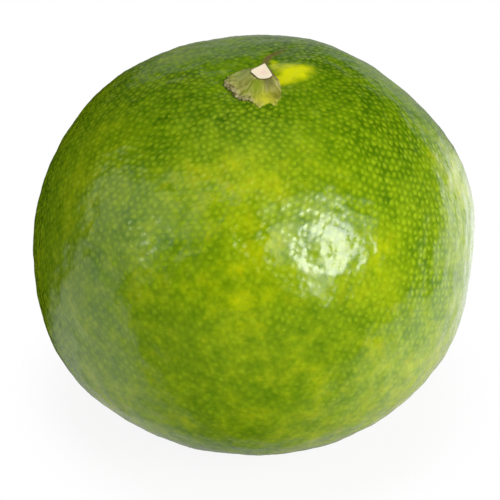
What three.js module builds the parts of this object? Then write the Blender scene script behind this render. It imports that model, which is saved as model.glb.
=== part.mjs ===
// A whole satsuma mandarin picked green: the peel-covered fruit, the calyx under its
// stem and the short stub left where the stem was cut. Millimetres, +Z up, the stem
// end on top, standing on the small flat at the blossom end.
import * as THREE from 'three';

const DEGREE = Math.PI / 180;

// Fruit: the widest level splits it into an upper and a lower half.
const WAIST_RADIUS = 30;
const UPPER_HEIGHT = 27.3;
const LOWER_DEPTH = 25.3;
const UPPER_FULLNESS = 2.14; // 2 gives an ellipse, more a squarer outline
const LOWER_FULLNESS = 2.38;
const FLAT_SHARE = 0.985; // share of the lower depth where the resting flat lies

// Where the stem stands: a little forward and to the right of the middle.
const STEM_X = 1.2;
const STEM_Y = -0.8;

// Dimple round the stem, its radial furrows and the one deep crease behind it.
const DIMPLE_DEPTH = 0.9;
const DIMPLE_REACH = 5;
const FURROW_COUNT = 7;
const FURROW_DEPTH = 0.18;
const FURROW_SHARPNESS = 4; // how narrow each furrow is against the ridge beside it
const FURROW_CENTRE = 7.5; // distance from the stem
const FURROW_SPREAD = 3.2;
const CREASE = { azimuth: 74, depth: 0.5, width: 0.75, centre: 5.5, spread: 3.2 };

// Blossom end: a shallow basin in the middle of the flat.
const BASIN_DEPTH = 0.5;
const BASIN_REACH = 1.7;

// Broad swells (rise above zero) and soft flats (below zero) of the grown fruit.
// Azimuth and latitude in degrees, reach in degrees of arc, rise in mm.
const SWELLS = [
  { azimuth: 10, latitude: 14, reach: 15, rise: 0.9 },
  { azimuth: 28, latitude: 34, reach: 14, rise: -0.12 },
  { azimuth: 58, latitude: 50, reach: 16, rise: 0.38 },
  { azimuth: 146, latitude: 39, reach: 14, rise: 0.3 },
  { azimuth: 177, latitude: 5, reach: 14, rise: 0.1 },
  { azimuth: 196, latitude: -22, reach: 20, rise: 0.6 },
  { azimuth: 280, latitude: -55, reach: 17, rise: 0.33 },
  { azimuth: 80, latitude: -30, reach: 20, rise: 0.3 },
  { azimuth: 120, latitude: 5, reach: 18, rise: -0.25 },
];
// The small shoulder that swells up on the right of the calyx.
const SHOULDER = { x: 5.6, y: 1.4, reach: 3.2, rise: 0.28 };

const FRUIT_RINGS = 44;
const FRUIT_SPOKES = 72;
const END_CROWDING = 0.55; // how far the rings crowd toward both ends
const HEIGHT_PASSES = 8; // steps that find the height of the peel under a point

// Calyx: sepals grown together round a hub. The outline follows the farthest of a few
// lobes, which are more pointed where blunt is low. On the right of the stem it is worn
// away, and the peel comes right up to the hub.
const CLEARANCE = 0.3; // between one piece and the next
const HUB_RADIUS = 2.1;
const LOBES = [
  { azimuth: 247, reach: 5.4, spread: 70, blunt: 4 }, // the sepals grown together
  { azimuth: 198, reach: 5.8, spread: 15, blunt: 1.6 },
  { azimuth: 241, reach: 6.3, spread: 13, blunt: 1.6 },
  { azimuth: 265, reach: 6.7, spread: 7, blunt: 1.3 },
  { azimuth: 286, reach: 7.0, spread: 8, blunt: 1.3 },
  { azimuth: 302, reach: 6.0, spread: 8, blunt: 1.5 },
  { azimuth: 128, reach: 3.6, spread: 44, blunt: 2 },
];
const RIM_THICKNESS = 0.3;
const HUB_THICKNESS = 1.4;
const CALYX_HOLLOW = 1.3; // how quickly the hub thins toward the rim
const SOCKET_FLOOR = 0.4;
const CALYX_SPOKES = 96;
const CALYX_STEPS = [0.3, 0.55, 0.75, 0.9, 1]; // shares of the way from hub to rim

// Stem stub: slightly oval, leaning forward, cut a little askew.
const STUB_RADIUS = 1.45;
const STUB_TOP = 2.0; // above the peel at the stem
const STUB_LEAN = 0.1; // forward run per mm of rise
const CUT_SLOPE = 0.12; // fall of the cut toward the front, per mm
const CUT_CHAMFER = 0.12;
const SHAVED = { azimuth: 24, distance: 0.93 }; // side sliced off, and how far out
const STUB_SPOKES = 40;
const STUB_FOOT_STEPS = [0.6, 0.92]; // rings on the underside, as shares of the radius
const CUT_STEP = 0.5; // ring on the cut, as a share of the radius

/** Shortest signed angle between two azimuths, in degrees. */
function turn(from, to) {
  return ((to - from + 540) % 360) - 180;
}

/** Bell curve: 1 at zero, fading over the given reach. */
function bell(distance, reach) {
  return Math.exp(-((distance / reach) ** 2));
}

/** Unit vector for an azimuth and a latitude in degrees. */
function toward(azimuth, latitude) {
  const flat = Math.cos(latitude * DEGREE);
  return new THREE.Vector3(
    flat * Math.cos(azimuth * DEGREE),
    flat * Math.sin(azimuth * DEGREE),
    Math.sin(latitude * DEGREE),
  );
}

const SWELL_AXES = SWELLS.map((swell) => toward(swell.azimuth, swell.latitude));

/** Relief of the stem end at a point seen from above, in mm outward. */
function stemEndRelief(x, y) {
  const dx = x - STEM_X;
  const dy = y - STEM_Y;
  const away = Math.hypot(dx, dy);
  const azimuth = Math.atan2(dy, dx) / DEGREE;
  const ring = bell(away - FURROW_CENTRE, FURROW_SPREAD);
  const furrow = (0.5 + 0.5 * Math.cos(FURROW_COUNT * azimuth * DEGREE)) ** FURROW_SHARPNESS;
  const aside = away * Math.sin(turn(CREASE.azimuth, azimuth) * DEGREE);
  const ahead = away * Math.cos(turn(CREASE.azimuth, azimuth) * DEGREE);
  const crease = bell(aside, CREASE.width) * bell(ahead - CREASE.centre, CREASE.spread);
  const shoulder = bell(Math.hypot(x - SHOULDER.x, y - SHOULDER.y), SHOULDER.reach);
  return SHOULDER.rise * shoulder
    - DIMPLE_DEPTH * bell(away, DIMPLE_REACH)
    - FURROW_DEPTH * ring * furrow
    - CREASE.depth * crease;
}

/** Point of the peel in a direction from the centre of the widest level. */
function peelPoint(direction) {
  const side = Math.hypot(direction.x, direction.y);
  const upper = direction.z >= 0;
  const half = upper ? UPPER_HEIGHT : LOWER_DEPTH;
  const fullness = upper ? UPPER_FULLNESS : LOWER_FULLNESS;
  const sum = (side / WAIST_RADIUS) ** fullness + (Math.abs(direction.z) / half) ** fullness;
  let radius = sum ** (-1 / fullness);
  SWELLS.forEach((swell, index) => {
    const arc = direction.angleTo(SWELL_AXES[index]) / DEGREE;
    radius += swell.rise * bell(arc, swell.reach);
  });
  if (upper) {
    radius += stemEndRelief(direction.x * radius, direction.y * radius);
  }
  return direction.clone().multiplyScalar(radius);
}

const FLAT_LEVEL = LOWER_DEPTH * FLAT_SHARE;

/** Level the blossom end off at the resting flat and sink the basin into it. */
function levelled(point) {
  const basin = BASIN_DEPTH * bell(Math.hypot(point.x, point.y), BASIN_REACH);
  const floor = point.z < 0 ? -FLAT_LEVEL + basin : point.z;
  return new THREE.Vector3(point.x, point.y, Math.max(point.z, floor) + FLAT_LEVEL);
}

/** Height of the peel at a point near the stem, seen from above. */
function peelHeight(x, y) {
  const direction = new THREE.Vector3(x, y, UPPER_HEIGHT).normalize();
  for (let pass = 0; pass < HEIGHT_PASSES; pass += 1) {
    const { z } = peelPoint(direction);
    direction.set(x, y, z).normalize();
  }
  return peelPoint(direction).z + FLAT_LEVEL;
}

/** Close a stack of rings, bottom to top, with a middle point at either end. */
function ringSolid(bottom, rings, top) {
  const spokes = rings[0].length;
  const points = [bottom, ...rings.flat(), top];
  const last = points.length - 1;
  const faces = [];
  for (let spoke = 0; spoke < spokes; spoke += 1) {
    const next = (spoke + 1) % spokes;
    faces.push(0, 1 + next, 1 + spoke);
    for (let ring = 1; ring < rings.length; ring += 1) {
      const below = 1 + (ring - 1) * spokes;
      const above = below + spokes;
      faces.push(below + spoke, below + next, above + next);
      faces.push(below + spoke, above + next, above + spoke);
    }
    faces.push(last - spokes + spoke, last - spokes + next, last);
  }
  const geometry = new THREE.BufferGeometry().setFromPoints(points);
  geometry.setIndex(faces);
  geometry.computeVertexNormals();
  return geometry;
}

/** One point for each spoke of a ring, from a function of the azimuth in degrees. */
function ringOf(spokes, pointAt) {
  return Array.from({ length: spokes }, (_, spoke) => pointAt((360 * spoke) / spokes));
}

/** The whole fruit, blossom end to stem end. */
function fruitGeometry() {
  const rings = [];
  for (let ring = 1; ring < FRUIT_RINGS; ring += 1) {
    const share = ring / FRUIT_RINGS;
    const wave = (END_CROWDING * Math.sin(2 * Math.PI * share)) / (2 * Math.PI);
    const latitude = 180 * (share - wave) - 90;
    rings.push(ringOf(FRUIT_SPOKES, (azimuth) => levelled(peelPoint(toward(azimuth, latitude)))));
  }
  return ringSolid(levelled(peelPoint(toward(0, -90))), rings, levelled(peelPoint(toward(0, 90))));
}

/** Outline of the calyx: distance from the stem at an azimuth. */
function calyxReach(azimuth) {
  const reaches = LOBES.map((lobe) => {
    const across = Math.abs(turn(lobe.azimuth, azimuth)) / lobe.spread;
    return (lobe.reach - HUB_RADIUS) * Math.exp(-(across ** lobe.blunt));
  });
  return HUB_RADIUS + Math.max(...reaches);
}

/** Point over the peel, by azimuth and distance from the stem and height above it. */
function overPeel(azimuth, away, height) {
  const x = STEM_X + away * Math.cos(azimuth * DEGREE);
  const y = STEM_Y + away * Math.sin(azimuth * DEGREE);
  return new THREE.Vector3(x, y, peelHeight(x, y) + CLEARANCE + height);
}

/** Ring of the calyx at a share of the way from the hub to the rim. */
function calyxRing(share, heightAt) {
  return ringOf(CALYX_SPOKES, (azimuth) => {
    const away = HUB_RADIUS + share * (calyxReach(azimuth) - HUB_RADIUS);
    return overPeel(azimuth, away, heightAt(share));
  });
}

/** Ring of the calyx round the stem, at one distance and height. */
function hubRing(away, height) {
  return ringOf(CALYX_SPOKES, (azimuth) => overPeel(azimuth, away, height));
}

/** The calyx: its underside, the sheet over it and the socket the stub stands in. */
function calyxGeometry() {
  const socket = STUB_RADIUS + CLEARANCE;
  const thickness = (share) => RIM_THICKNESS
    + (HUB_THICKNESS - RIM_THICKNESS) * (1 - share) ** CALYX_HOLLOW;
  const under = [hubRing(socket / 2, 0), hubRing(HUB_RADIUS, 0)]
    .concat(CALYX_STEPS.map((share) => calyxRing(share, () => 0)));
  const over = [...CALYX_STEPS].reverse().map((share) => calyxRing(share, thickness));
  const hub = [
    hubRing(HUB_RADIUS, HUB_THICKNESS),
    hubRing(socket, HUB_THICKNESS),
    hubRing(socket, SOCKET_FLOOR),
    hubRing(socket / 2, SOCKET_FLOOR),
  ];
  return ringSolid(overPeel(0, 0, 0), [...under, ...over, ...hub], overPeel(0, 0, SOCKET_FLOOR));
}

/** Outline of the stub: its radius at an azimuth, with the sliced side. */
function stubReach(azimuth) {
  const facing = Math.cos(turn(SHAVED.azimuth, azimuth) * DEGREE);
  return facing > 0 ? Math.min(STUB_RADIUS, SHAVED.distance / facing) : STUB_RADIUS;
}

/** Ring of the stub at a share of its radius and a height, keeping its lean. */
function stubRing(share, foot, height, slope) {
  return ringOf(STUB_SPOKES, (azimuth) => {
    const away = share * stubReach(azimuth);
    const y = away * Math.sin(azimuth * DEGREE);
    return new THREE.Vector3(
      STEM_X + away * Math.cos(azimuth * DEGREE),
      STEM_Y + y - STUB_LEAN * height,
      foot + height + slope * y,
    );
  });
}

/** The stub: chamfered foot, straight side and slanting cut. */
function stubGeometry() {
  const foot = peelHeight(STEM_X, STEM_Y) + 2 * CLEARANCE + SOCKET_FLOOR;
  const top = STUB_TOP - 2 * CLEARANCE - SOCKET_FLOOR;
  const edge = 1 - CUT_CHAMFER / STUB_RADIUS;
  const rings = [
    ...STUB_FOOT_STEPS.map((share) => stubRing(share, foot, 0, 0)),
    stubRing(1, foot, CUT_CHAMFER, 0),
    stubRing(1, foot, top - CUT_CHAMFER, CUT_SLOPE),
    stubRing(edge, foot, top, CUT_SLOPE),
    stubRing(CUT_STEP, foot, top, CUT_SLOPE),
  ];
  const bottom = new THREE.Vector3(STEM_X, STEM_Y, foot);
  const middle = new THREE.Vector3(STEM_X, STEM_Y - STUB_LEAN * top, foot + top);
  return ringSolid(bottom, rings, middle);
}

/** A named body with its own finish. */
function piece(name, geometry, colour, roughness) {
  const material = new THREE.MeshStandardMaterial({ color: colour, roughness, metalness: 0 });
  material.name = name;
  const mesh = new THREE.Mesh(geometry, material);
  mesh.name = name;
  return mesh;
}

const satsuma = new THREE.Group();
satsuma.name = 'satsuma';
satsuma.add(piece('fruit', fruitGeometry(), 0x7a9a14, 0.4));
satsuma.add(piece('calyx', calyxGeometry(), 0x989a45, 0.85));
satsuma.add(piece('stem_stub', stubGeometry(), 0xe6d8b0, 0.8));

export default satsuma;
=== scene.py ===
# %% [markdown]
# # A green satsuma, gland by gland
# A satsuma picked early is a good first lesson in natural surfaces: one squat body,
# thousands of oil glands just under a waxy peel, a dry calyx and a cut stem. The CAD
# frame gives the true size and place of each part. This file grows a finer skin over it.

# %% Load the frame
import math

import bmesh
import bpy
import numpy as np
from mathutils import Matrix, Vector, noise
from mathutils.bvhtree import BVHTree


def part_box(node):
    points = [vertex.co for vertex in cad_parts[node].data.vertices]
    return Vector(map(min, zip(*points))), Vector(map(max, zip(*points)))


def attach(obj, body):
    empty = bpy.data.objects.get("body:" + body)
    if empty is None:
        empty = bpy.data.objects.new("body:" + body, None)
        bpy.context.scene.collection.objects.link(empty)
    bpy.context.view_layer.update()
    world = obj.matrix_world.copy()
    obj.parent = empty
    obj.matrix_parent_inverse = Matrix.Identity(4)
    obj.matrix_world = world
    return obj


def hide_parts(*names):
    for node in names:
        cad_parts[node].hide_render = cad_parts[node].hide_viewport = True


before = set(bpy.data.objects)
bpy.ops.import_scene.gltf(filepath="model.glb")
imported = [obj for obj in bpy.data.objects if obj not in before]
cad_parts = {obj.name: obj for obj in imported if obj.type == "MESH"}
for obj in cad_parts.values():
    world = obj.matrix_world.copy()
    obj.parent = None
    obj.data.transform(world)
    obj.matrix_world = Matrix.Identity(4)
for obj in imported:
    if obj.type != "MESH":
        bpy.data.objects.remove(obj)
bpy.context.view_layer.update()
MM = 0.001

# %% [markdown]
# ## A smooth guide
# The CAD fruit is a closed mesh of some thousands of flat facets, which a glossy peel
# would show. Catmull-Clark subdivision rounds them: the facets are joined back into
# four-sided faces first, because it rounds those most evenly. The result isn't shown. It
# is kept as a BVH tree, which answers where a ray meets the surface.

# %% Round the CAD fruit into a guide surface
GUIDE_LEVELS = 3
FACET_ANGLE = math.radians(40)
WELD = 0.001 * MM


def rounded_tree(node_name):
    """BVH tree of a CAD node, welded and subdivided smooth."""
    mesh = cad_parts[node_name].data.copy()
    bm = bmesh.new()
    bm.from_mesh(mesh)
    bmesh.ops.remove_doubles(bm, verts=bm.verts, dist=WELD)
    limits = {"angle_face_threshold": FACET_ANGLE, "angle_shape_threshold": FACET_ANGLE}
    bmesh.ops.join_triangles(bm, faces=bm.faces, **limits)
    bm.to_mesh(mesh)
    bm.free()
    helper = bpy.data.objects.new("guide", mesh)
    bpy.context.scene.collection.objects.link(helper)
    helper.modifiers.new("round", "SUBSURF").levels = GUIDE_LEVELS
    tree = BVHTree.FromObject(helper, bpy.context.evaluated_depsgraph_get())
    bpy.data.objects.remove(helper)
    bpy.data.meshes.remove(mesh)
    return tree


guide = rounded_tree("fruit")
fruit_low, fruit_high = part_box("fruit")
heart = (fruit_low + fruit_high) / 2
print("fruit measures", [round(v / MM, 1) for v in fruit_high - fruit_low], "mm")

# %% [markdown]
# ## Where the oil glands sit
# Under the peel of a citrus fruit lie oil glands about a millimetre apart, nearly evenly
# packed but never in rows. A golden-angle spiral spreads points evenly over a sphere, and
# a little random wander breaks its pattern. The convex hull of points on a sphere is their
# Delaunay triangulation, so it joins each gland to its true neighbours.

# %% Scatter the glands and join neighbours
GLAND_COUNT = 10800
GLAND_WANDER = 0.22
SEED = 7


def gland_sites():
    """Unit vectors, one for each gland, evenly spread and slightly disordered."""
    rng = np.random.default_rng(SEED)
    step = np.arange(GLAND_COUNT) + 0.5
    height = 1 - 2 * step / GLAND_COUNT
    turn = math.pi * (1 + math.sqrt(5)) * step
    side = np.sqrt(1 - height**2)
    sites = np.stack([side * np.cos(turn), side * np.sin(turn), height], axis=1)
    spacing = math.sqrt(4 * math.pi / GLAND_COUNT)
    sites += rng.uniform(-1, 1, sites.shape) * GLAND_WANDER * spacing
    return sites / np.linalg.norm(sites, axis=1, keepdims=True)


def neighbours(sites):
    """Triangles joining each gland to the ones round it, wound outward."""
    bm = bmesh.new()
    for site in sites:
        bm.verts.new(site)
    bmesh.ops.convex_hull(bm, input=bm.verts)
    bm.verts.index_update()
    triangles = np.array([[v.index for v in face.verts] for face in bm.faces])
    bm.free()
    corner = sites[triangles]
    facing = np.cross(corner[:, 1] - corner[:, 0], corner[:, 2] - corner[:, 0])
    inward = (facing * corner[:, 0]).sum(axis=1) < 0
    triangles[inward] = triangles[inward][:, ::-1]
    return triangles


sites = gland_sites()
webs = neighbours(sites)
print(len(sites), "glands joined by", len(webs), "triangles")

# %% [markdown]
# ## A skin made of cells
# The middles of the triangles round a gland are the corners of its own cell. Each cell
# gets its gland in the middle, an inner ring of points and those corners as its outer
# ring. That is just enough to press a real round pit into the peel at each gland, and it
# stays under the limit on triangles for one piece.

# %% Divide the skin into cells
INNER_SHARE = 0.5


def cell_skin(points, triangles):
    """Points and triangles of the skin, and the gland that each point belongs to."""
    count, corners = len(points), triangles.size
    starts = triangles.reshape(-1)
    ends = np.roll(triangles, -1, axis=1).reshape(-1)
    middles = points[triangles].mean(axis=1)
    inner = points[starts] + (middles.repeat(3, axis=0) - points[starts]) * INNER_SHARE
    there, back = starts * count + ends, ends * count + starts
    order = np.argsort(there)
    partner = order[np.searchsorted(there, back, sorter=order)]
    first_inner = count + len(triangles)
    left_middle = count + np.arange(corners) // 3
    right_middle = count + partner // 3
    left_inner = first_inner + np.arange(corners)
    right_inner = first_inner + partner // 3 * 3 + (partner + 1) % 3
    fans = [
        (starts, right_inner, left_inner),
        (right_inner, right_middle, left_middle),
        (right_inner, left_middle, left_inner),
    ]
    skin = np.concatenate([np.stack(fan, axis=1) for fan in fans])
    owner = np.concatenate([np.arange(count), triangles[:, 0], starts])
    return np.concatenate([points, middles, inner]), skin, owner


skin_points, skin_faces, nearest_gland = cell_skin(sites, webs)
skin_points /= np.linalg.norm(skin_points, axis=1, keepdims=True)
print("skin:", len(skin_points), "points,", len(skin_faces), "triangles")

# %% [markdown]
# ## Lay the skin on the fruit
# A ray from the heart of the fruit through each point finds the guide surface. The
# distances are then averaged a few times with their neighbours', which rubs out the last
# of the guide's facets without touching the broad swells.

# %% Cast the skin onto the guide
SMOOTHING_PASSES = 10


def laid_on_guide(directions):
    """Point and outward normal where a ray along each direction leaves the fruit."""
    hits = [guide.ray_cast(heart, Vector(way)) for way in directions]
    return np.array([hit[0] for hit in hits]), np.array([hit[1] for hit in hits])


def averaged(values, faces, passes):
    """Values of the skin's points, each averaged with its neighbours' some times."""
    sides = np.concatenate([faces[:, [0, 1]], faces[:, [1, 2]], faces[:, [2, 0]]])
    degree = np.bincount(sides[:, 0], minlength=len(values))
    for _ in range(passes):
        around = np.bincount(sides[:, 0], weights=values[sides[:, 1]], minlength=len(values))
        values = (values + around / degree) / 2
    return values


landed, outward = laid_on_guide(skin_points)
centre = np.array(heart)
reach = np.linalg.norm(landed - centre, axis=1)
smooth_reach = averaged(reach, skin_faces, SMOOTHING_PASSES)
peel_points = centre + skin_points * smooth_reach[:, None]
outward *= np.sign((outward * skin_points).sum(axis=1, keepdims=True))
print("smoothing moved the skin by at most", round(np.abs(smooth_reach - reach).max() / MM, 3), "mm")

# %% [markdown]
# ## Press in the glands and ripple the peel
# Each gland shows as a shallow round pit, large or small. Between them the peel isn't
# taut: it ripples on a scale of a few millimetres, and that is what breaks a lamp's
# reflection into crinkles. Both are real displacement here, so the outline and the
# highlights agree. Each point keeps its distance from its gland for the material to use.

# %% Pits and ripples
GLAND_RADIUS = 0.33 * MM
GLAND_SIZES = (0.65, 1.2)
PIT_DEPTH = 0.036 * MM
RIPPLES = [(11, 0.10), (4.5, 0.11), (2.1, 0.11), (1.2, 0.05)]  # size and height in mm
RIPPLE_SHIFT = 3.7  # moves the noise of each size, so that no two sizes line up


def gland_layout(points):
    """Distance of each point from its nearest gland, and the size of that gland."""
    sizes = np.random.default_rng(SEED + 1).uniform(*GLAND_SIZES, GLAND_COUNT)
    away = np.linalg.norm(points - points[nearest_gland], axis=1)
    return away, sizes[nearest_gland]


def rippled(points, size, offset):
    """Smooth noise between about -1 and 1 at each point, with swells of a given size."""
    shift = Vector((offset, 2 * offset, -offset))
    return np.array([noise.noise(Vector(point) / size + shift) for point in points])


gland_away, gland_size = gland_layout(peel_points)
relief = -PIT_DEPTH * gland_size * np.exp(-((gland_away / (GLAND_RADIUS * gland_size)) ** 2))
for number, (size, depth) in enumerate(RIPPLES):
    relief += depth * MM * rippled(peel_points, size * MM, RIPPLE_SHIFT * number)
peel_points += outward * relief[:, None]
peel_points[:, 2] = np.maximum(peel_points[:, 2], fruit_low.z)
print("relief runs from", round(relief.min() / MM, 3), "to", round(relief.max() / MM, 3), "mm")

# %% [markdown]
# ## Make the peel a mesh
# Numbers become a mesh through one call. The gland distances ride along as an attribute.
# The skin also gets a UV map of six islands, like the faces of a cube blown up onto the
# fruit, so that its colours can be baked evenly.

# %% Build the peel
ISLAND_MARGIN = 0.03


def mesh_piece(name, points, faces, slot, **attributes):
    """A smooth-shaded object from arrays, riding with the fruit, with its point attributes."""
    mesh = bpy.data.meshes.new(name)
    mesh.from_pydata(points, [], faces)
    for label, values in attributes.items():
        layer = mesh.attributes.new(label, "FLOAT", "POINT")
        layer.data.foreach_set("value", np.asarray(values, np.float32))
    mesh.shade_smooth()
    piece = bpy.data.objects.new(name, mesh)
    bpy.context.scene.collection.objects.link(piece)
    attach(piece, "root")
    return piece


def cube_islands(piece, directions, faces):
    """UV map that lays the skin out as six islands, two rows of three."""
    middle = directions[faces].mean(axis=1)
    axis = np.abs(middle).argmax(axis=1)
    rows = np.arange(len(faces))
    side = axis * 2 + (middle[rows, axis] > 0)
    across, along = (axis + 1) % 3, (axis + 2) % 3
    corner = directions[faces]
    depth = np.abs(corner[rows[:, None], np.arange(3), axis[:, None]])
    u = np.arctan2(corner[rows[:, None], np.arange(3), across[:, None]], depth) / (math.pi / 2) + 0.5
    v = np.arctan2(corner[rows[:, None], np.arange(3), along[:, None]], depth) / (math.pi / 2) + 0.5
    keep = 1 - 2 * ISLAND_MARGIN
    u = (side[:, None] % 3 + ISLAND_MARGIN + keep * u) / 3
    v = (side[:, None] // 3 + ISLAND_MARGIN + keep * v) / 2
    layer = piece.data.uv_layers.new(name="OFBake")
    layer.data.foreach_set("uv", np.stack([u, v], axis=-1).astype(np.float32).ravel())


gland_data = {"gland_away": gland_away, "gland_size": gland_size}
peel = mesh_piece("peel", peel_points, skin_faces, "peel", **gland_data)
cube_islands(peel, skin_points, skin_faces)
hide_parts("fruit")
print("peel has", len(peel.data.polygons), "triangles")

# %% [markdown]
# ## Rings that close into a solid
# The calyx and the stem are both stacks of rings round the stem. A ring is one point for
# each spoke, and neighbouring rings are joined by quads. One helper serves both.

# %% Join rings of points
STEM = Vector((1.2 * MM, -0.8 * MM, 0))
ABOVE = 5 * MM  # over the fruit, where a ray down to the peel starts


def ring_stack(rings, bottom, top):
    """Points and faces of a closed body from rings, bottom to top, and its two end points."""
    spokes = len(rings[0])
    points = [bottom] + [point for ring in rings for point in ring] + [top]
    last = len(points) - 1
    faces = []
    for spoke in range(spokes):
        after = (spoke + 1) % spokes
        faces.append((0, 1 + after, 1 + spoke))
        for ring in range(1, len(rings)):
            low = 1 + (ring - 1) * spokes
            high = low + spokes
            faces.append((low + spoke, low + after, high + after, high + spoke))
        faces.append((last - spokes + spoke, last - spokes + after, last))
    return points, faces


def peel_height(x, y):
    """Height of the smooth fruit under a point near the stem."""
    hit = guide.ray_cast(Vector((x, y, fruit_high.z + ABOVE)), Vector((0, 0, -1)))
    return hit[0].z


def bell(distance, reach):
    """1 at zero distance, fading over the given reach."""
    return math.exp(-((distance / reach) ** 2))


def turn(start, end):
    """Shortest signed angle between two azimuths, in degrees."""
    return (end - start + 540) % 360 - 180


stem_foot = peel_height(STEM.x, STEM.y)
print("the peel under the stem is", round(stem_foot / MM, 2), "mm up")

# %% [markdown]
# ## The calyx
# The calyx is the button under the stem: sepals grown together, dry and corky at their
# margins, green and fleshy near the hub. It is a polar sheet. Its outline is a row of
# lobes with a ragged edge, and its height above the peel falls from the hub to the rim.
# Fibres run outward as fine ridges. The underside dips just into the peel, so it sits.

# %% Outline and height of the calyx
CALYX_OUTLINE = [  # azimuth in degrees, reach in mm
    (24, 1.32),
    (60, 1.75),
    (90, 2.5),
    (140, 3.7),
    (172, 4.7),
    (192, 5.2),
    (212, 4.8),
    (233, 5.5),
    (250, 5.1),
    (260, 5.5),
    (266, 6.4),
    (272, 5.4),
    (281, 5.2),
    (286, 6.1),
    (292, 5.2),
    (307, 3.9),
    (330, 2.5),
    (350, 1.6),
]
CALYX_SPOKES = 300
CALYX_RINGS = 34
HUB = 1.2  # mm, the edge isn't torn any nearer to the stem
TEARS = [(9, 1, 0.16), (24, 2, 0.24), (55, 5, 0.14)]  # detail, offset, depth in mm
COLLAR_RISE, COLLAR_REACH, COLLAR_FADE = 1.15, 1.45 * MM, 1.4 * MM
BLADE_RIM, BLADE_RISE, BLADE_FALL = 0.10, 0.45, 1.5  # mm, mm, exponent of the fall to the rim
FIBRES = [(12, 3, 2.5, 0.05), (34, 4, 4, 0.03)]  # detail, offset, drift outward, height in mm
CORK_SIDE, CORK_SPREAD = 215, 38  # degrees
CORK_RISE, KNOB_RISE, CORK_LEAST = 0.45, 0.12, 0.25  # mm, mm, share of cork on the other side
CRUST_AT, CRUST_WIDTH = 0.93, 0.1  # shares of the way to the edge
CRUST_LEVEL, CRUST_BREAKS = 0.4, 1.4
CRUST_NOISE, KNOB_NOISE = (9, 6, 3), (13, 8, 9)  # detail, offset, drift outward
SUNK = 0.12 * MM


def ragged(azimuth, detail, offset):
    """Noise round a circle, so that it meets itself without a seam."""
    angle = math.radians(azimuth)
    return noise.noise(Vector((detail * math.cos(angle), detail * math.sin(angle), offset)))


def drifting(azimuth, share, detail, offset, drift):
    """Noise round the calyx that changes on the way to the edge."""
    return ragged(azimuth, detail, offset + drift * share)


def calyx_reach(azimuth):
    """Distance from the stem to the edge of the calyx at an azimuth."""
    around, out = zip(*CALYX_OUTLINE)
    edge = np.interp(azimuth, around, out, period=360)
    tear = sum(depth * ragged(azimuth, detail, offset) for detail, offset, depth in TEARS)
    return (edge + tear * min(1, edge - HUB)) * MM


def calyx_rise(azimuth, share):
    """Height of the calyx's upper face over the peel, by share of the way to the edge."""
    away = share * calyx_reach(azimuth)
    collar = COLLAR_RISE * bell(max(0, away - COLLAR_REACH), COLLAR_FADE)
    blade = BLADE_RIM + BLADE_RISE * (1 - share**BLADE_FALL)
    fibre = 0
    for detail, offset, drift, height in FIBRES:
        fibre += height * drifting(azimuth, share, detail, offset, drift)
    corky = bell(turn(CORK_SIDE, azimuth), CORK_SPREAD) + CORK_LEAST
    broken = max(0, CRUST_LEVEL + CRUST_BREAKS * drifting(azimuth, share, *CRUST_NOISE))
    crust = bell(share - CRUST_AT, CRUST_WIDTH) * broken
    cork = CORK_RISE * corky * crust
    knobs = KNOB_RISE * corky * drifting(azimuth, share, *KNOB_NOISE) * share
    return (collar + blade + fibre + cork + knobs) * MM


def calyx_point(azimuth, share, rise):
    """Point of the calyx over the peel."""
    away = share * calyx_reach(azimuth)
    x = STEM.x + away * math.cos(math.radians(azimuth))
    y = STEM.y + away * math.sin(math.radians(azimuth))
    return Vector((x, y, peel_height(x, y) + rise))


reaches = [calyx_reach(azimuth) / MM for azimuth in range(360)]
print("calyx reaches", round(min(reaches), 1), "to", round(max(reaches), 1), "mm from the stem")

# %% Build the calyx
UNDER_STEP, LAST_UNDER = 4, 0.985  # the underside has every fourth ring and one by the edge
azimuths = [360 * spoke / CALYX_SPOKES for spoke in range(CALYX_SPOKES)]
shares = [(ring + 1) / CALYX_RINGS for ring in range(CALYX_RINGS)]
under_shares = shares[::UNDER_STEP] + [LAST_UNDER]
under = [[calyx_point(a, s, -SUNK) for a in azimuths] for s in under_shares]
over = [[calyx_point(a, s, calyx_rise(a, s)) for a in azimuths] for s in reversed(shares)]
calyx_base = Vector((STEM.x, STEM.y, stem_foot - SUNK))
calyx_middle = Vector((STEM.x, STEM.y, stem_foot + calyx_rise(0, 0)))
points, faces = ring_stack(under + over, calyx_base, calyx_middle)
calyx_share = [0] + [s for s in under_shares for _ in azimuths]
calyx_share += [s for s in reversed(shares) for _ in azimuths] + [0]
calyx = mesh_piece("calyx_button", points, faces, "calyx", rim=calyx_share)
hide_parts("calyx")
print("calyx has", len(faces), "faces")

# %% [markdown]
# ## The cut stem
# Only a stub of the stem is left, nearly round, with three flats sliced off its sides. Its
# bark is a thin brown skin with fine upright wrinkles. The cut is flat but not machined: it
# dishes a little toward the pith. It leans forward, as the CAD stub does.

# %% Shape of the stem stub
STUB_RADIUS = 1.58 * MM
SHAVED = [(22, 0.92 * MM), (129, 1.2 * MM), (216, 1.36 * MM)]  # azimuth, distance of the flat
BULGE = (80, 25, 0.2)  # azimuth and spread in degrees, share of the radius
OUT_OF_ROUND, BARK_WRINKLE = 0.03, 0.035  # shares of the radius
ROUND_NOISE, WRINKLE_DETAIL, RAY_NOISE = (3, 11), 12, (20, 21)  # detail, offset
STUB_LEAN = 0.1
CUT_SLOPE = 0.12
CUT_LEVEL = 2.0 * MM
CUT_DISH, CUT_RAYS, DISH_REACH = 0.10, 0.012, 0.45  # mm, mm, share of the radius
STUB_SPOKES = 144


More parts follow.
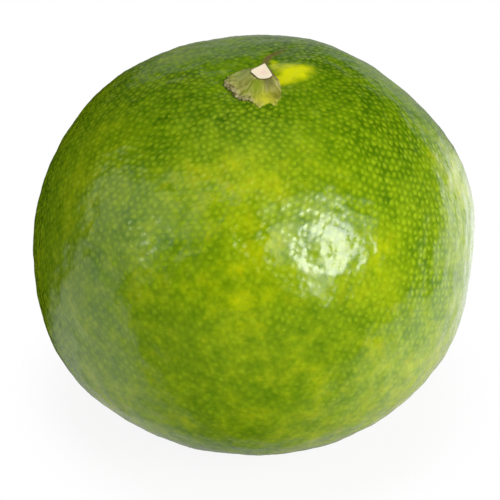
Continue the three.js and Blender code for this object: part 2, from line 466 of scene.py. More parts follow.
def stub_reach(azimuth):
    """Radius of the stub at an azimuth, with the flats sliced off it."""
    middle, spread, swell = BULGE
    uneven = OUT_OF_ROUND * ragged(azimuth, *ROUND_NOISE) + swell * bell(turn(middle, azimuth), spread)
    reach = STUB_RADIUS * (1 + uneven)
    for at, out in SHAVED:
        facing = math.cos(math.radians(turn(at, azimuth)))
        if facing > 0:
            reach = min(reach, out / facing)
    return reach


def stub_point(azimuth, share, height, on_cut):
    """Point of the stub by share of its radius and height over the peel."""
    wrinkle = 0 if on_cut else BARK_WRINKLE * ragged(azimuth, WRINKLE_DETAIL, height / MM)
    away = stub_reach(azimuth) * (share + wrinkle)
    x = away * math.cos(math.radians(azimuth))
    y = away * math.sin(math.radians(azimuth))
    tilt = CUT_SLOPE * y * min(1, height / CUT_LEVEL)
    return Vector((STEM.x + x, STEM.y + y - STUB_LEAN * height, stem_foot + height + tilt))


def cut_height(azimuth, share):
    """Height of the cut face: dished toward the pith, with faint rays."""
    dish = -CUT_DISH * bell(share, DISH_REACH)
    rays = CUT_RAYS * ragged(azimuth, *RAY_NOISE) * share
    return CUT_LEVEL + (dish + rays) * MM


print("the stub is", round(stub_reach(0) / MM, 2), "mm out on its right")

# %% Build the stem stub
SIDE_ROWS = 10
SIDE_SHARE, SIDE_WAVER = 0.96, 0.04  # of the radius
CUT_ROWS = [0.985, 0.95, 0.9, 0.84, 0.7, 0.55, 0.4, 0.25, 0.12]  # shares of the radius, inward
BARK_SHARE = 1.2  # marks the bark; the cut runs from 0 in the middle to 1
BARK_TOP = 0.99 * CUT_LEVEL
stub_azimuths = [360 * spoke / STUB_SPOKES for spoke in range(STUB_SPOKES)]
side_rows = []
for row in range(SIDE_ROWS):
    side_rows.append((SIDE_SHARE + SIDE_WAVER * math.cos(row), BARK_TOP * row / SIDE_ROWS))
stub_rings = [[stub_point(a, wide, up, False) for a in stub_azimuths] for wide, up in side_rows]
stub_rings += [[stub_point(a, s, cut_height(a, s), True) for a in stub_azimuths] for s in CUT_ROWS]
stub_bottom = Vector((STEM.x, STEM.y, stem_foot))
stub_top = stub_point(0, 0, cut_height(0, 0), True)
points, faces = ring_stack(stub_rings, stub_bottom, stub_top)
cut_share = [BARK_SHARE] * (1 + len(side_rows) * STUB_SPOKES)
cut_share += [s for s in CUT_ROWS for _ in stub_azimuths] + [0]
stem_stub = mesh_piece("cut_stem", points, faces, "stem", cut=cut_share)
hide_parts("stem_stub")
print("stub has", len(faces), "faces")

# %% [markdown]
# ## A small language for finishes
# A procedural material is arithmetic on sockets. Wrapping a socket in a class with the
# usual operators lets a finish be written as sums, and each operator adds its Math node.
# Every other node comes from one method that takes its type, settings and inputs.

# %% A socket that takes part in sums
NOISE_MIDDLE = 0.5


class Wire:
    """An output socket that can be used in sums."""

    def __init__(self, finish, socket):
        self.finish = finish
        self.socket = socket

    def beside(self, label):
        """Another output of the same node."""
        return Wire(self.finish, self.socket.node.outputs[label])

    def maths(self, operation, *values):
        """A Math node on these values."""
        return self.finish.node("ShaderNodeMath", {"operation": operation}, values)

    def __add__(self, other):
        return self.maths("ADD", self, other)

    def __sub__(self, other):
        return self.maths("SUBTRACT", self, other)

    def __rsub__(self, other):
        return self.maths("SUBTRACT", other, self)

    def __mul__(self, other):
        return self.maths("MULTIPLY", self, other)

    def __truediv__(self, other):
        return self.maths("DIVIDE", self, other)

    def __neg__(self):
        return self.maths("MULTIPLY", self, -1)

    __radd__ = __add__
    __rmul__ = __mul__

    def swing(self, amount):
        """A noise moved down to swing about zero, by up to half this amount."""
        return (self - NOISE_MIDDLE) * amount


print("a noise swings about", NOISE_MIDDLE)


# %% The nodes of one finish
class Finish:
    """The nodes of one material or world."""

    def __init__(self, owner):
        owner.use_nodes = True
        self.tree = owner.node_tree
        self.tree.nodes.clear()

    def node(self, kind, settings=None, values=(), output=0):
        """Add a node: settings first, then a value or wire for each socket."""
        made = self.tree.nodes.new(kind)
        for label, setting in (settings or {}).items():
            if label == "stops":
                self.set_stops(made.color_ramp, setting)
            else:
                setattr(made, label, setting)
        pairs = values.items() if isinstance(values, dict) else enumerate(values)
        for socket, value in pairs:
            if isinstance(value, Wire):
                self.tree.links.new(value.socket, made.inputs[socket])
            else:
                made.inputs[socket].default_value = value
        return Wire(self, made.outputs[output]) if made.outputs else made

    def set_stops(self, ramp, stops):
        """Give a colour ramp its places and colours."""
        while len(ramp.elements) < len(stops):
            ramp.elements.new(0.5)
        for element, (position, colour) in zip(ramp.elements, stops):
            element.position = position
            element.color = colour

    def kept(self, label):
        """A number that the mesh keeps at each point."""
        return self.node("ShaderNodeAttribute", {"attribute_name": label}, output="Fac")

    def blend(self, mask, first, second):
        """Mix two colours by a mask."""
        settings = {"data_type": "RGBA", "clamp_factor": True}
        return self.node("ShaderNodeMix", settings, {0: mask, 6: first, 7: second}, output=2)

    def fit(self, value, low, high, new_low=0.0, new_high=1.0):
        """Bring a range of values to another, held at its ends."""
        settings = {"interpolation_type": "SMOOTHSTEP"}
        return self.node("ShaderNodeMapRange", settings, [value, low, high, new_low, new_high])

    def bell(self, distance, reach):
        """1 where distance is zero, fading over the reach."""
        share = distance / reach
        return self.node("ShaderNodeMath", {"operation": "EXPONENT"}, [-(share * share)])

    def cloud(self, where, size, detail=2.0, rough=0.5, output="Fac"):
        """Noise with features of a given size."""
        inputs = {"Vector": where, "Scale": 1 / size, "Detail": detail, "Roughness": rough}
        return self.node("ShaderNodeTexNoise", {}, inputs, output)

    def vectors(self, operation, first, second, output="Vector"):
        """Vector arithmetic."""
        return self.node("ShaderNodeVectorMath", {"operation": operation}, [first, second], output)

    def away(self, where, spot):
        """Distance from a spot."""
        return self.vectors("DISTANCE", where, spot, "Value")

    def along(self, where, way):
        """How far a place or direction goes along another."""
        return self.vectors("DOT_PRODUCT", where, way, "Value")

    def strayed(self, where, size, amount):
        """Places moved about at random, which gives patches uneven edges."""
        drift = self.cloud(where, size, detail=2.0, output="Color")
        drift = self.vectors("SUBTRACT", drift, Vector([NOISE_MIDDLE] * 3))
        drift = self.vectors("MULTIPLY", drift, Vector([amount] * 3))
        return self.vectors("ADD", where, drift)

    def bump(self, height, strength, distance):
        """Shading normal from a height."""
        inputs = {"Strength": strength, "Distance": distance, "Height": height}
        return self.node("ShaderNodeBump", {}, inputs)

    def close(self, shader):
        """Wire a shader to the output."""
        self.node("ShaderNodeOutputMaterial", {}, [shader])


print("a finish can make:", ", ".join(name for name in vars(Finish) if not name.startswith("_")))


# %% Colours, directions and fresh materials
def tint(red, green, blue):
    """Linear colour from the usual 0 to 255 values, by the sRGB curve."""
    share = [v / 255 for v in (red, green, blue)]
    linear = [v / 12.92 if v <= 0.04045 else ((v + 0.055) / 1.055) ** 2.4 for v in share]
    return (*linear, 1.0)


def toward(azimuth, latitude=0):
    """Unit vector that points to an azimuth and latitude in degrees."""
    flat = math.cos(math.radians(latitude))
    east, north = math.cos(math.radians(azimuth)), math.sin(math.radians(azimuth))
    return Vector((flat * east, flat * north, math.sin(math.radians(latitude))))


def new_material(piece):
    """A fresh material on a piece, with its finish."""
    material = bpy.data.materials.new(piece.name)
    piece.data.materials.clear()
    piece.data.materials.append(material)
    return Finish(material)


print("a middling grey is", round(tint(128, 128, 128)[0], 3), "in linear light")

# %% [markdown]
# ## The peel's colour
# Green peel is dark between its glands and lighter over them, where the oil lets light
# through. Over that lie broad differences: sides that saw the sun turn yellow-green first.
# Slow noise gives the mottling, and placed patches say where this fruit is riper or
# greener. Two of those patches are painted light instead: lighter colour on the right
# side and on its lower limb, where the light from the right falls. A ripeness value, with
# that painted light in it, runs through a colour ramp.

# %% Where this fruit is riper or greener, and where light is painted on its right side
RIPE_AND_LIT_PATCHES = [  # azimuth, latitude, reach in mm, strength
    (-95, 47, 7, 0.26),
    (-82, 46, 4, -0.08),
    (-88, 22, 7, 0.19),
    (-103, 28, 5, -0.19),
    (-108, 5, 6, -0.15),
    (-120, 18, 4, 0.20),
    (-121, 31, 4, -0.10),
    (-155, 32, 6, 0.05),
    (-151, 36, 4, 0.22),
    (-135, 15, 6, -0.16),
    (-155, 18, 4, -0.10),
    (178, 16, 8, -0.12),
    (-127, -17, 6, 0.16),
    (-57, 24, 7, 0.25),
    (-93, 13, 6, 0.12),
    (-72, 10, 6, -0.12),
    (-47, 7, 8, -0.17),
    (-62, -24, 9, 0.22),
    (-92, -8, 6, -0.15),
    # painted light: lighter colour on the lower right, where the light from the right falls
    (-38, -24, 9, 0.27),
    (-28, -9, 7, 0.10),
    # painted light: lighter colour on the right limb, where the light from the right falls
    (-6, 25, 6, 0.45),
    (-40, 20, 6, -0.06),
    (-10, 38, 11, -0.12),
    (-42, 42, 7, -0.10),
    (-13, 61, 11, -0.35),
    (-100, 73, 9, -0.26),
    (-113, 54, 6, 0.13),
    (-110, 38, 5, -0.06),
    (-135, 74, 5, -0.14),
    (160, 76, 9, -0.20),
    (60, 68, 8, -0.34),
    (95, 73, 7, -0.12),
    (-86, 54, 6, 0.13),
    (-92, 42, 5, 0.08),
    (-101, -6, 5, 0.10),
    (-58, 4, 6, 0.18),
    (-130, 55, 5, -0.11),
    (-80, 8, 4, -0.08),
    (-162, 54, 8, -0.15),
    (10, 50, 8, -0.08),
    (150, 30, 16, -0.12),
    (60, -10, 16, 0.12),
]
YELLOW_SPOTS = [  # x and y from the stem, reach, all in mm, strength
    (4.2, 2.4, 2.2, 1.0),
    (5.9, 3.4, 1.5, 0.5),
    (1.9, 3.9, 1.1, 0.6),
    (1.4, 5.1, 0.8, 0.4),
    (2.7, 0.5, 1.3, 0.85),
]
print(len(RIPE_AND_LIT_PATCHES), "patches and", len(YELLOW_SPOTS), "yellow spots to lay on the peel")

# %% Ripeness of the peel, with painted light on its right side
RIPE_LEVEL = 0.495
BROAD_SIZE, MOTTLE_SIZE, GRAIN_SIZE = 9 * MM, 2.4 * MM, 0.8 * MM
BROAD_SHARE, MOTTLE_SHARE, GRAIN_SHARE = 1.0, 0.9, 0.45
LOOSE_EDGE, SNUG_EDGE = (3 * MM, 6 * MM), (1.6 * MM, 1.8 * MM)  # size and reach of the drift
YELLOW_RIPENS, YELLOW_LIFT = (0.0, 0.6), 0.5
peel_finish = new_material(peel)
on_peel = peel_finish.node("ShaderNodeTexCoord", output="Object")
broad = peel_finish.cloud(on_peel, BROAD_SIZE, detail=4.0, rough=0.62)
mottle = peel_finish.cloud(on_peel, MOTTLE_SIZE, detail=3.0, rough=0.6)
grain = peel_finish.cloud(on_peel, GRAIN_SIZE, detail=2.0, rough=0.6)
ripeness_and_light = RIPE_LEVEL + broad.swing(BROAD_SHARE) + mottle.swing(MOTTLE_SHARE)
ripeness_and_light = ripeness_and_light + grain.swing(GRAIN_SHARE)
loose = peel_finish.strayed(on_peel, *LOOSE_EDGE)
# two of these patches paint light on the right side of the fruit
for azimuth, latitude, size, strength in RIPE_AND_LIT_PATCHES:
    spot = guide.ray_cast(heart, toward(azimuth, latitude))[0]
    ripeness_and_light = ripeness_and_light + peel_finish.bell(peel_finish.away(loose, spot), size * MM) * strength
snug = peel_finish.strayed(on_peel, *SNUG_EDGE)
yellowness = 0
for x, y, size, strength in YELLOW_SPOTS:
    spot = Vector((STEM.x + x * MM, STEM.y + y * MM, stem_foot))
    yellowness = yellowness + peel_finish.bell(peel_finish.away(snug, spot), size * MM) * strength
ripeness_and_light = ripeness_and_light + peel_finish.fit(yellowness, *YELLOW_RIPENS) * YELLOW_LIFT
print("ripeness sums up", len(peel_finish.tree.nodes), "nodes")

# %% Colour from ripeness and painted light
PEEL_RAMP = [
    (0.0, tint(64, 103, 2)),
    (0.25, tint(90, 129, 2)),
    (0.5, tint(118, 150, 3)),
    (0.72, tint(146, 171, 3)),
    (0.88, tint(170, 188, 3)),
    (1.0, tint(186, 197, 3)),
]
WARM_SIZE, WARM_SHARE, WARM_TINT = 1.5 * MM, 0.25, tint(182, 166, 3)
WARM_CLOUDS, WARM_WHERE_RIPE = (0.46, 0.72), (0.45, 0.8)
YELLOW_SPREAD, YELLOW_TINT = (0.25, 1.0), tint(226, 230, 4)
peel_colour = peel_finish.node("ShaderNodeValToRGB", {"stops": PEEL_RAMP}, [ripeness_and_light])
warmth = peel_finish.cloud(on_peel, WARM_SIZE, detail=3.0, rough=0.6)
warmth = peel_finish.fit(warmth, *WARM_CLOUDS) * peel_finish.fit(ripeness_and_light, *WARM_WHERE_RIPE) * WARM_SHARE
peel_colour = peel_finish.blend(warmth, peel_colour, WARM_TINT)
peel_colour = peel_finish.blend(peel_finish.fit(yellowness, *YELLOW_SPREAD), peel_colour, YELLOW_TINT)
print("a ramp of", len(PEEL_RAMP), "greens colours the peel")

# %% [markdown]
# ## Glands that show
# A gland is a lighter dot, and finer dots lie between. Where the peel is greenest its
# glands show clearest, so their strength varies over the fruit. The distances that the
# mesh keeps draw the large dots, so that each one lies in its own pit. The fine ones are
# too many for the mesh, and come from a Voronoi texture.

# %% Glands in the peel
CLEAR_PATCHES = [  # azimuth, latitude, reach in mm, strength
    (-20, 52, 17, 0.22),
    (-95, 68, 8, 0.14),
    (-40, 18, 11, 0.26),
    (-95, 38, 9, 0.13),
    (-100, -15, 20, -0.09),
    (170, 40, 20, 0.12),
]
CLEARNESS, MIDDLING_GLAND = 0.24, 0.9
GREEN_CLEARER, LARGE_CLEARER = 0.6, 0.4
GLAND_GLOW, GLAND_TINT = 0.42 * MM, tint(178, 206, 26)
FINE_SPACING, FINE_DOT = 0.6 * MM, (0.5, 0.1)
FINE_SHARE, FINE_TINT = 0.35, tint(150, 186, 1)
YELLOW_VEIL, VEIL_SHARE = (0.1, 0.8), 0.8  # the yellow patch covers its glands
away_from_gland = peel_finish.kept("gland_away")
size_of_gland = peel_finish.kept("gland_size")
dot = peel_finish.bell(away_from_gland / size_of_gland, GLAND_GLOW)
voronoi = {"Vector": on_peel, "Scale": 1 / FINE_SPACING}
fine_away = peel_finish.node("ShaderNodeTexVoronoi", {}, voronoi, "Distance")
fine_dot = peel_finish.fit(fine_away, *FINE_DOT)
clearness = CLEARNESS - broad.swing(GREEN_CLEARER)
clearness = clearness + (size_of_gland - MIDDLING_GLAND) * LARGE_CLEARER
for azimuth, latitude, size, strength in CLEAR_PATCHES:
    spot = guide.ray_cast(heart, toward(azimuth, latitude))[0]
    clearness = clearness + peel_finish.bell(peel_finish.away(loose, spot), size * MM) * strength
clearness = clearness * (1 - peel_finish.fit(yellowness, *YELLOW_VEIL) * VEIL_SHARE)
peel_colour = peel_finish.blend(fine_dot * clearness * FINE_SHARE, peel_colour, FINE_TINT)
peel_colour = peel_finish.blend(dot * clearness, peel_colour, GLAND_TINT)
print("a middling gland shows at", CLEARNESS, "of its full strength")

# %% [markdown]
# ## Scars
# A thin brown scar runs back from the stem in its crease, and there is a small scar
# underneath, where the flower was. Both are masks worked out from the place on the fruit:
# a scar has no relief worth the triangles.

# %% Scars
SCAR_BEND = (4.2 * MM, 11.5 * MM, 0.35 * MM, 3.4 * MM)  # start and end back, then aside
SCAR_WIDTH, SCAR_WAVER, SCAR_TINT = 0.42 * MM, 1.5 * MM, tint(112, 92, 48)
SCAR_FRONT, SCAR_BACK = (0.6 * MM, 1.6 * MM), (11 * MM, 6.5 * MM)  # nothing, full strength
TOP_ONLY = (-12 * MM, -6 * MM)
BLOSSOM_EDGE, BLOSSOM_TINT = (1.9 * MM, 1.1 * MM), tint(112, 92, 52)
SCAR_SHARE, BLOSSOM_SHARE = 0.95, 0.9
stem_place = Vector((STEM.x, STEM.y, stem_foot))
from_stem = peel_finish.vectors("SUBTRACT", on_peel, stem_place)
scar_run = peel_finish.along(from_stem, toward(90))
scar_bend = peel_finish.fit(scar_run, *SCAR_BEND)
scar_side = peel_finish.along(from_stem, toward(0)) - scar_bend + mottle.swing(SCAR_WAVER)
on_top = peel_finish.fit(peel_finish.along(from_stem, Vector((0, 0, 1))), *TOP_ONLY)
scar = peel_finish.bell(scar_side, SCAR_WIDTH) * on_top
scar = scar * peel_finish.fit(scar_run, *SCAR_FRONT) * peel_finish.fit(scar_run, *SCAR_BACK)
peel_colour = peel_finish.blend(scar * SCAR_SHARE, peel_colour, SCAR_TINT)
blossom = peel_finish.fit(peel_finish.away(snug, Vector((0, 0, 0))), *BLOSSOM_EDGE)
peel_colour = peel_finish.blend(blossom * BLOSSOM_SHARE, peel_colour, BLOSSOM_TINT)
print("the scar has faded out", round(SCAR_BACK[0] / MM), "mm behind the stem")

# %% [markdown]
# ## Gloss of the peel
# The same wax covers the whole peel, so its gloss is even but for a little grain and for
# the scars, which are dull. The wax has a fine relief of its own, finer than the ripples
# in the mesh, and a Bump node is enough for that.

# %% Gloss of the peel
WAX_ROUGHNESS, WAX_GRAIN, SCAR_DULLNESS, WAX_IOR = 0.18, 0.1, 0.3, 1.58
WAX_SIZE, WAX_HEIGHT, WAX_BUMP = 0.5 * MM, 0.03 * MM, 0.45
wax_relief = peel_finish.cloud(on_peel, WAX_SIZE, detail=3.0, rough=0.65)
peel_shader = peel_finish.node("ShaderNodeBsdfPrincipled", {}, {
    "Base Color": peel_colour,
    "Roughness": WAX_ROUGHNESS + grain.swing(WAX_GRAIN) + (scar + blossom) * SCAR_DULLNESS,
    "Normal": peel_finish.bump(wax_relief, WAX_BUMP, WAX_HEIGHT),
    "IOR": WAX_IOR,
})
peel_finish.close(peel_shader)
print("peel finish has", len(peel_finish.tree.nodes), "nodes")

# %% [markdown]
# ## The calyx's colour
# The calyx is a dry olive colour, still yellow-green where it is fleshy in front. A dark
# spot in front of the stem is painted shadow under its cut. A pale spot on the back edge
# on the left has pale fibres and painted light that lifts the shade there. Streaks
# follow the fibres, so their noise takes mostly the direction from the stem and only a
# little of the place.

# %% Colour of the calyx
CALYX_SPOTS = [  # x and y from the stem, reach, all in mm, strength, colour
    (0.4, -4.5, 1.7, 0.95, tint(208, 208, 42)),
    (-0.9, -2.6, 1.3, 0.9, tint(132, 152, 4)),
    (1.8, -3.5, 1.1, 0.85, tint(114, 114, 4)),
    # painted shadow: the dark spot just in front of the stem, under its cut
    (0.9, -1.9, 0.8, 0.8, tint(100, 96, 50)),
    # pale fibres with painted light: lifts the shade on the back edge on the left
    (-2.6, 1.0, 1.6, 0.7, tint(160, 178, 84)),
]
STREAK_GRAIN, STREAK_BEND = 0.13, Vector((60, 60, 0))
PATCH_SIZE, SPECK_SIZE = 1.1 * MM, 0.3 * MM
DRYNESS, PATCH_SHARE, STREAK_SHARE = 0.5, 1.1, 1.6
SPOT_EDGE, SPOT_STREAKS = (1 * MM, 1.4 * MM), 0.8
calyx_finish = new_material(calyx)
on_calyx = calyx_finish.node("ShaderNodeTexCoord", output="Object")
rim = calyx_finish.kept("rim")
calyx_way = calyx_finish.vectors("SUBTRACT", on_calyx, stem_place)
flat_way = calyx_finish.vectors("MULTIPLY", calyx_way, Vector((1, 1, 0)))
spoke_way = calyx_finish.vectors("NORMALIZE", flat_way, Vector())
bent_way = calyx_finish.vectors("MULTIPLY", flat_way, STREAK_BEND)
fibre_way = calyx_finish.vectors("ADD", spoke_way, bent_way)
streaks = calyx_finish.cloud(fibre_way, STREAK_GRAIN, detail=3.0, rough=0.7)
patchy = calyx_finish.cloud(on_calyx, PATCH_SIZE, detail=4.0, rough=0.65)
specks = calyx_finish.cloud(on_calyx, SPECK_SIZE, detail=3.0, rough=0.7)
CALYX_RAMP = [
    (0.22, tint(100, 106, 34)),
    (0.42, tint(146, 148, 60)),
    (0.58, tint(168, 166, 84)),
    (0.78, tint(200, 196, 136)),
]
dryness = DRYNESS + patchy.swing(PATCH_SHARE) + streaks.swing(STREAK_SHARE)
calyx_colour = calyx_finish.node("ShaderNodeValToRGB", {"stops": CALYX_RAMP}, [dryness])
ragged_place = calyx_finish.strayed(calyx_way, *SPOT_EDGE)
flat_place = calyx_finish.vectors("MULTIPLY", ragged_place, Vector((1, 1, 0)))
for x, y, size, strength, colour in CALYX_SPOTS:
    flat_away = calyx_finish.away(flat_place, Vector((x, y, 0)) * MM)
    mask = calyx_finish.bell(flat_away, size * MM) * (strength + streaks.swing(SPOT_STREAKS))
    calyx_colour = calyx_finish.blend(mask, calyx_colour, colour)
print(len(CALYX_SPOTS), "fleshy or dark spots on the calyx")

# %% [markdown]
# ## Cork on the calyx
# The margin on the left is grey-brown cork with dark gaps, and the side at the back on the
# right is browner. Both are dull, so the calyx has one rough finish with a fine relief.

# %% Cork and finish of the calyx
CORK_TINTS, CORK_GAPS = (tint(92, 80, 42), tint(178, 172, 122)), (0.42, 0.58)
CORK_FACES, CORK_EDGE, CORK_SHARE = 218, (0.68, 0.94), 0.9
CORK_MARGIN, CORK_WAVER = (0.76, 0.95), 0.35
BROWN_FACES, BROWN_EDGE, BROWN_SHARE, BROWN_TINT = 30, (0.3, 0.8), 0.85, tint(104, 86, 42)
STREAK_HEIGHT, SPECK_HEIGHT = 0.6, 0.4
DRY_ROUGHNESS, DRY_SPECKS, DRY_SPECULAR = 0.62, 0.3, 0.35
DRY_BUMP, DRY_HEIGHT = 0.6, 0.08 * MM
corky_side = calyx_finish.fit(calyx_finish.along(spoke_way, toward(CORK_FACES)), *CORK_EDGE)
margin = calyx_finish.fit(rim + patchy.swing(CORK_WAVER), *CORK_MARGIN)
cork = calyx_finish.blend(calyx_finish.fit(specks, *CORK_GAPS), *CORK_TINTS)
calyx_colour = calyx_finish.blend(margin * corky_side * CORK_SHARE, calyx_colour, cork)
brown_side = calyx_finish.fit(calyx_finish.along(spoke_way, toward(BROWN_FACES)), *BROWN_EDGE)
calyx_colour = calyx_finish.blend(brown_side * BROWN_SHARE, calyx_colour, BROWN_TINT)
calyx_height = streaks * STREAK_HEIGHT + specks * SPECK_HEIGHT
calyx_shader = calyx_finish.node("ShaderNodeBsdfPrincipled", {}, {
    "Base Color": calyx_colour,
    "Roughness": DRY_ROUGHNESS + specks.swing(DRY_SPECKS),
    "Normal": calyx_finish.bump(calyx_height, DRY_BUMP, DRY_HEIGHT),
    "Specular IOR Level": DRY_SPECULAR,
})
calyx_finish.close(calyx_shader)
print("calyx finish has", len(calyx_finish.tree.nodes), "nodes")

# %% [markdown]
# ## The stem's finish
# The cut is pale wood with a slightly pink pith. A thin dark line of bark rings it, and the
# bark of the side is brown-green.

# %% Finish the stem
WOOD_GRAIN, WOOD_HEIGHT, WOOD_BUMP = 0.28 * MM, 0.04 * MM, 0.5
PITH_EDGE, PITH_WAVER, BARK_EDGE = (0.1, 0.6), 0.5, (0.93, 1.0)
RAY_GRAIN, RAY_SHARE = (0.55, 0.75), 0.35
PITH_TINT, WOOD_TINT, RAY_TINT = tint(252, 224, 202), tint(252, 238, 206), tint(214, 188, 140)
BARK_TINTS = tint(84, 62, 34), tint(122, 112, 56)
WOOD_ROUGHNESS, WOOD_SPECULAR = 0.7, 0.3
stem_finish = new_material(stem_stub)
on_stem = stem_finish.node("ShaderNodeTexCoord", output="Object")
cut = stem_finish.kept("cut")
wood_grain = stem_finish.cloud(on_stem, WOOD_GRAIN, detail=3.0, rough=0.6)
pith = stem_finish.fit(cut + wood_grain.swing(PITH_WAVER), *PITH_EDGE)
wood = stem_finish.blend(pith, PITH_TINT, WOOD_TINT)
wood = stem_finish.blend(stem_finish.fit(wood_grain, *RAY_GRAIN) * RAY_SHARE, wood, RAY_TINT)
bark = stem_finish.blend(wood_grain, *BARK_TINTS)
stem_colour = stem_finish.blend(stem_finish.fit(cut, *BARK_EDGE), wood, bark)
stem_shader = stem_finish.node("ShaderNodeBsdfPrincipled", {}, {
    "Base Color": stem_colour,
    "Roughness": WOOD_ROUGHNESS,
    "Normal": stem_finish.bump(wood_grain, WOOD_BUMP, WOOD_HEIGHT),
    "Specular IOR Level": WOOD_SPECULAR,
})
stem_finish.close(stem_shader)
print("stem finish has", len(stem_finish.tree.nodes), "nodes")

# %% [markdown]
# ## The studio
# The fruit stands on a wide pale floor. The camera sees floor and world as white, and that
# white lights nothing. Close to the fruit the floor stays a real surface, so it keeps a
# soft shadow. What the gloss mirrors is a plain studio too: pale cards lie on the floor to
# the right, to the left and behind, and the rest of the room is dim. Only mirrored rays
# see the cards, so all they add is gloss. Toward the fruit the cards fade with a painted
# shadow.

# %% Floor
FLOOR_HALF = 3.0  # m
FLOOR_DROP = 0.05 * MM
SHADOW_EDGE = (24 * MM, 36 * MM, 0.9, 1.0)  # how the share of plain white grows outward
CONTACT_REACH = 54 * MM
UNDER_EDGE, UNDER_GLOW = (30 * MM, 23 * MM), 0.2
ROUND_CARD, ROUND_EDGE = Vector((58 * MM, 8 * MM, 0)), (74 * MM, 30 * MM)
FAR_CARD, FAR_EDGE, FAR_FADE, FAR_GLOW = 28, (0.85, 0.97), (420 * MM, 110 * MM, 0.1, 1.0), 1.25
LEFT_SIDES = [  # azimuth the card reaches toward, where it fades in
    (108, (-45 * MM, -15 * MM)),
    (122, (-26 * MM, -4 * MM)),
    (83, (6 * MM, -12 * MM)),
]
LEFT_GLOW = 0.72
BACK_CARD, BACK_EDGE, BACK_GLOW = 64, (0.7, 0.92), 0.35
CARD_WHITE = (0.85, 0.85, 0.85, 1)
floor_mesh = bpy.data.meshes.new("studio_floor")
corner_signs = [(-1, -1), (1, -1), (1, 1), (-1, 1)]
floor_corners = [(x * FLOOR_HALF, y * FLOOR_HALF, -FLOOR_DROP) for x, y in corner_signs]
floor_mesh.from_pydata(floor_corners, [], [(0, 1, 2, 3)])
studio_floor = bpy.data.objects.new("studio_floor", floor_mesh)
bpy.context.scene.collection.objects.link(studio_floor)
floor_finish = new_material(studio_floor)
on_floor = floor_finish.node("ShaderNodeTexCoord", output="Object")
spread = floor_finish.away(on_floor, Vector((0, 0, 0)))
heading = floor_finish.vectors("NORMALIZE", on_floor, Vector())
print("floor is", 2 * FLOOR_HALF, "m wide")

# %% Cards on the floor
round_card = floor_finish.fit(floor_finish.away(on_floor, ROUND_CARD), *ROUND_EDGE)
far_card = floor_finish.fit(floor_finish.along(heading, toward(FAR_CARD)), *FAR_EDGE)
far_card = far_card * floor_finish.fit(spread, *FAR_FADE) * FAR_GLOW
right_cards = floor_finish.node("ShaderNodeMath", {"operation": "MAXIMUM"}, [round_card, far_card])
left_card = LEFT_GLOW
for azimuth, edge in LEFT_SIDES:
    left_card = floor_finish.fit(floor_finish.along(on_floor, toward(azimuth)), *edge) * left_card
back_card = floor_finish.fit(floor_finish.along(heading, toward(BACK_CARD)), *BACK_EDGE) * BACK_GLOW
# painted shadow: the mirrored cards dim toward the fruit, as though it shaded them
painted_contact_shadow = floor_finish.fit(spread, 0.0, CONTACT_REACH)
under = floor_finish.fit(spread, *UNDER_EDGE) * UNDER_GLOW
cards = (right_cards + left_card + back_card) * painted_contact_shadow + under
path = floor_finish.node("ShaderNodeLightPath", output="Is Camera Ray")
mirrored, passed = path.beside("Is Glossy Ray"), path.beside("Is Transmission Ray")
glow = path * floor_finish.fit(spread, *SHADOW_EDGE) + mirrored + passed
pale = floor_finish.node("ShaderNodeBsdfDiffuse", {}, {"Color": CARD_WHITE})
white = floor_finish.node("ShaderNodeEmission", {}, {"Strength": path + passed + mirrored * cards})
floor_finish.close(floor_finish.node("ShaderNodeMixShader", {}, [glow, pale, white]))
print("floor finish has", len(floor_finish.tree.nodes), "nodes")

# %% [markdown]
# ## The room in the gloss
# A glossy body shows what stands round it, so the room is part of its look. Mirrored rays
# see a dim room with soft round panes: a window broken up by its frame in front on the
# right, which is laid over the key lamp, and fainter light on the left and overhead. All
# other rays see an even, weak white that lights the shadows a little.

# %% World
AMBIENT = 0.112
DIM_ROOM = 0.0064
PANEL = (190, 30, 34, 27, 0.45)
SHADE, SHADE_EDGE = (140, 55), (0.97, 0.87)
BEHIND, BEHIND_EDGE, LOW_SKY, BEHIND_GLOW = 58, (0.88, 0.98), (0.2, -0.05), 0.28
PANES = [  # azimuth, elevation, where it fades out and where it is full, in degrees, brightness
    (172, 22, 20, 10, 0.28),
    (212, 45, 22, 11, 0.2),
    (206, 25, 5, 3, 5.5),
    (96, 5, 18, 13, 0.24),
    (92, 24, 6, 3, 0.28),
    (312, 49, 24, 15, 0.8),
    (306, 24, 10, 6, 2.4),
    (306, 14, 11, 6, 3.0),
    (309, 33, 7, 4, 3.0),
    (299, 48, 11, 5, 1.1),
    (282, 47, 4, 2, 3.4),
    (281, 40, 4, 2, 4.8),
    (283, 33, 4, 2, 3.2),
    (331, 52, 8, 3, 1.1),
    (343, 34, 8, 3, 1.5),
    (219, 69, 8, 4, 1.1),
    (273, 76, 5, 2, 1.1),
]
world = bpy.data.worlds.new("studio_world")
bpy.context.scene.world = world
world_finish = Finish(world)
sky_way = world_finish.node("ShaderNodeTexCoord", output="Generated")
sky_path = world_finish.node("ShaderNodeLightPath", output="Is Camera Ray")
sky_mirrored, sky_passed = sky_path.beside("Is Glossy Ray"), sky_path.beside("Is Transmission Ray")
height = world_finish.along(sky_way, Vector((0, 0, 1)))


def pane(azimuth, elevation, outer, inner, brightness):
    """A round soft-edged light in the sky."""
    facing = world_finish.along(sky_way, toward(azimuth, elevation))
    edge = math.cos(math.radians(outer)), math.cos(math.radians(inner))
    return world_finish.fit(facing, *edge) * brightness


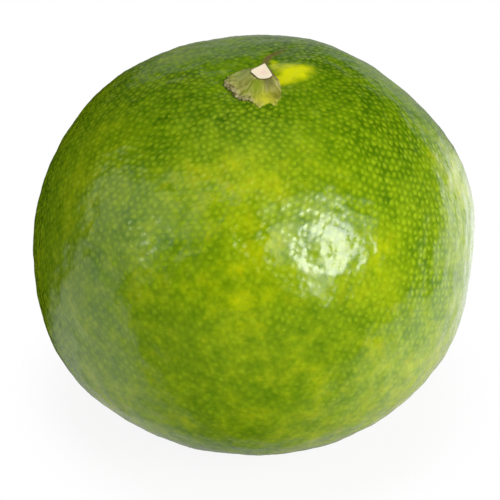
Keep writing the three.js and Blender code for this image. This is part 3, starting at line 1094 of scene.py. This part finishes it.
shade = world_finish.fit(world_finish.along(sky_way, toward(*SHADE)), *SHADE_EDGE)
room = DIM_ROOM + pane(*PANEL) * shade
for soft_light in PANES:
    room = room + pane(*soft_light)
behind = world_finish.fit(world_finish.along(sky_way, toward(BEHIND)), *BEHIND_EDGE)
room = room + behind * world_finish.fit(height, *LOW_SKY) * BEHIND_GLOW
plain_light = AMBIENT + (sky_path + sky_passed) * (1 - AMBIENT)
sky_light = plain_light * (1 - sky_mirrored) + room * sky_mirrored
sky_shader = world_finish.node("ShaderNodeBackground", {}, {"Color": (1, 1, 1, 1), "Strength": sky_light})
world_finish.node("ShaderNodeOutputWorld", {}, [sky_shader])
print("ambient light is", AMBIENT, "of white")

# %% [markdown]
# ## The lamps
# Six soft boxes stand round the fruit, all aimed at its heart. The key box in front on
# the right is the one lamp that shows in the gloss. A wider box round it softens its
# light, and panels on the left, the right, behind and overhead open the shadows. Those
# five are hidden from the gloss, because the room above stands in for them there.

# %% Hang the lamps
AIM = Vector((0, 0, heart.z))
LAMP_DISTANCE = 1.1
LAMPS = [  # name, azimuth, elevation, width and height in m, watts, shows in the gloss
    ("key_box", -42, 32.8, 0.41, 0.53, 6.3, True),
    ("key_fill", -50, 34, 0.56, 0.66, 3.5, False),
    ("left_panel", -168, 32, 0.95, 1.2, 3.4, False),
    ("right_panel", 20, 8, 0.5, 0.8, 1.8, False),
    ("top_panel", 90, 75, 0.8, 0.8, 3.0, False),
    ("back_panel", 100, 12, 0.9, 0.9, 2.4, False),
]


def soft_box(name, azimuth, elevation, width, height, watts, in_gloss):
    """A rectangular lamp aimed at the fruit."""
    lamp = bpy.data.lights.new(name, "AREA")
    lamp.shape = "RECTANGLE"
    lamp.size, lamp.size_y = width, height
    lamp.energy = watts
    lamp_object = bpy.data.objects.new(name, lamp)
    bpy.context.scene.collection.objects.link(lamp_object)
    way = toward(azimuth, elevation)
    lamp_object.location = AIM + way * LAMP_DISTANCE
    lamp_object.rotation_euler = way.to_track_quat("Z", "Y").to_euler()
    lamp_object.visible_glossy = in_gloss


for lamp_row in LAMPS:
    soft_box(*lamp_row)
print(len(LAMPS), "lamps aimed at", [round(v / MM) for v in AIM], "mm")

# %% [markdown]
# ## The camera
# A long lens from a little way off keeps the fruit's outline true. It looks down on the
# stem end.

# %% Place the camera
CAMERA_DISTANCE = 400 * MM
CAMERA_RISE = math.radians(35)
LENS, SENSOR = 210, 36  # mm
LOOK_AT = Vector((-0.48 * MM, 0, 24.9 * MM))
FRAME_SHIFT = 0.75 * MM
lens = bpy.data.cameras.new("camera")
lens.lens = LENS
lens.sensor_width = SENSOR
camera = bpy.data.objects.new("camera", lens)
bpy.context.scene.collection.objects.link(camera)
toward_camera = Vector((0, -math.cos(CAMERA_RISE), math.sin(CAMERA_RISE)))
picture_up = Vector((0, math.sin(CAMERA_RISE), math.cos(CAMERA_RISE)))
look_at = LOOK_AT - picture_up * FRAME_SHIFT
camera.location = look_at + toward_camera * CAMERA_DISTANCE
camera.rotation_euler = toward_camera.to_track_quat("Z", "Y").to_euler()
bpy.context.scene.camera = camera
bpy.context.scene.view_settings.view_transform = "Standard"
print("camera stands", round(camera.location.z / MM), "mm above the floor")

# %% [markdown]
